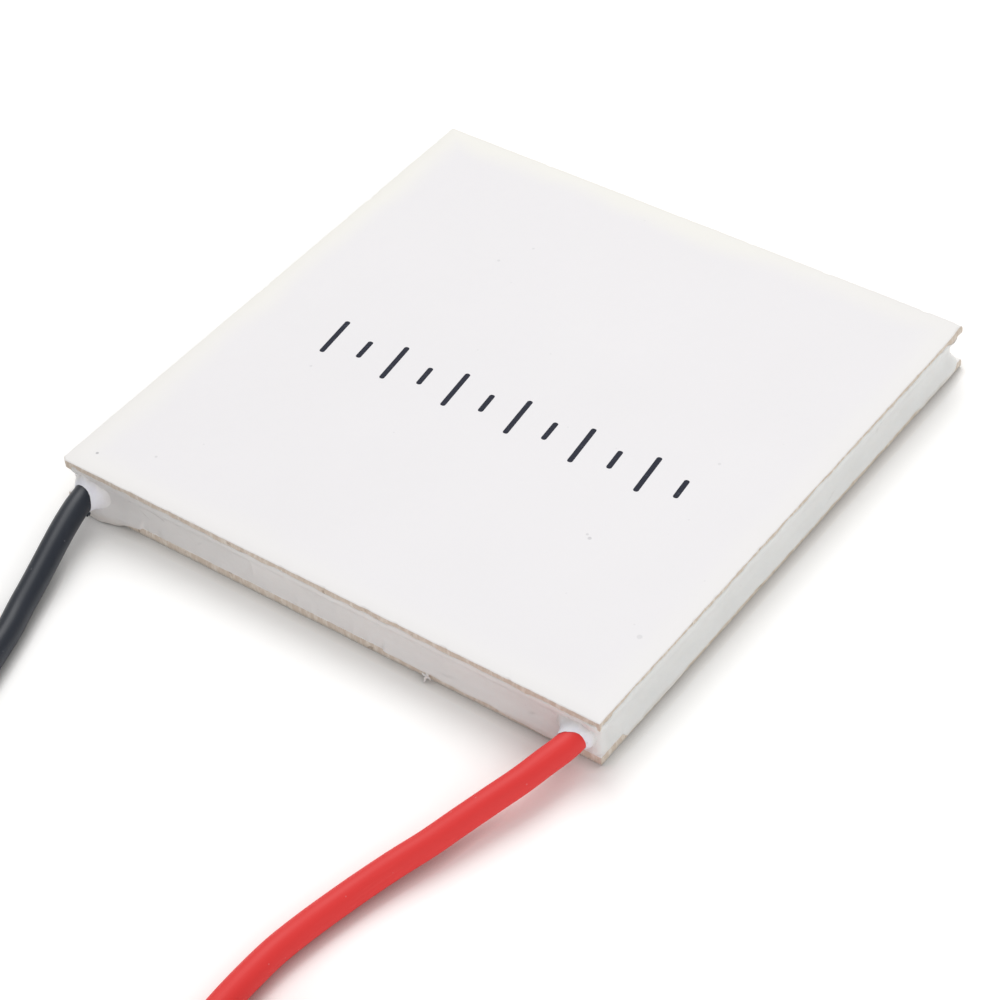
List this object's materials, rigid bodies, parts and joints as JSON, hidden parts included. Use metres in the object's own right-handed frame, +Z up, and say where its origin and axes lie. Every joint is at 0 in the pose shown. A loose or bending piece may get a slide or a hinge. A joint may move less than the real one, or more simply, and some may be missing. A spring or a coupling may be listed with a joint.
{
  "type": "thermoelectric cooling module",
  "caption": "Flat square thermoelectric module: ceramic plates with copper-linked semiconductor pellets between them, a silicone rim seal, and a black and a red lead from one side.",
  "frame": {"origin": "centre of the hot plate's outer face, on the surface the module lies on", "axes": "+X along the lead side from the black lead to the red one, +Y away from the leads, +Z up through the cold plate"},
  "size_m": [0.0658, 0.0827, 0.0034],
  "materials": {
    "cold_ceramic": "smooth lapped white alumina, faintly lavender, with a creamier rim and tan snapped edges",
    "hot_ceramic": "smooth lapped white alumina with tan snapped edges",
    "seal_silicone": "satin pale grey cured silicone with tool marks and smears",
    "dab_silicone": "soft satin white silicone",
    "copper": "bare copper, dull satin",
    "solder": "reflowed tin solder, soft sheen",
    "p_pellet": "sawn dark semiconductor, fine grain",
    "n_pellet": "sawn semiconductor with brighter cleavage grains",
    "black_insulation": "smooth black lead insulation, soft gloss",
    "red_insulation": "smooth red lead insulation, soft gloss",
    "tie_tape": "matt white wrapping tape",
    "tinned_strands": "twisted copper strands dipped in tin"
  },
  "bodies": {
    "root": {"cold_plate": "cold_ceramic", "hot_plate": "hot_ceramic", "perimeter_seal": "seal_silicone", "cold_tabs": "copper", "hot_tabs": "copper", "cold_solder": "solder", "hot_solder": "solder", "p_pellets_01": "p_pellet", "p_pellets_02": "p_pellet", "p_pellets_03": "p_pellet", "p_pellets_04": "p_pellet", "p_pellets_05": "p_pellet", "p_pellets_06": "p_pellet", "p_pellets_07": "p_pellet", "p_pellets_08": "p_pellet", "p_pellets_09": "p_pellet", "p_pellets_10": "p_pellet", "p_pellets_11": "p_pellet", "p_pellets_12": "p_pellet", "p_pellets_13": "p_pellet", "p_pellets_14": "p_pellet", "p_pellets_15": "p_pellet", "p_pellets_16": "p_pellet", "n_pellets_01": "n_pellet", "n_pellets_02": "n_pellet", "n_pellets_03": "n_pellet", "n_pellets_04": "n_pellet", "n_pellets_05": "n_pellet", "n_pellets_06": "n_pellet", "n_pellets_07": "n_pellet", "n_pellets_08": "n_pellet", "n_pellets_09": "n_pellet", "n_pellets_10": "n_pellet", "n_pellets_11": "n_pellet", "n_pellets_12": "n_pellet", "n_pellets_13": "n_pellet", "n_pellets_14": "n_pellet", "n_pellets_15": "n_pellet", "n_pellets_16": "n_pellet", "black_conductor": "copper", "red_conductor": "copper", "black_solder_joint": "solder", "red_solder_joint": "solder", "black_lead_dab": "dab_silicone", "red_lead_dab": "dab_silicone", "black_lead": "black_insulation", "red_lead": "red_insulation", "black_lead_coil": "black_insulation", "red_lead_coil": "red_insulation", "black_coil_tie": "tie_tape", "red_coil_tie": "tie_tape", "black_lead_tip": "tinned_strands", "red_lead_tip": "tinned_strands"}
  },
  "joints": []
}
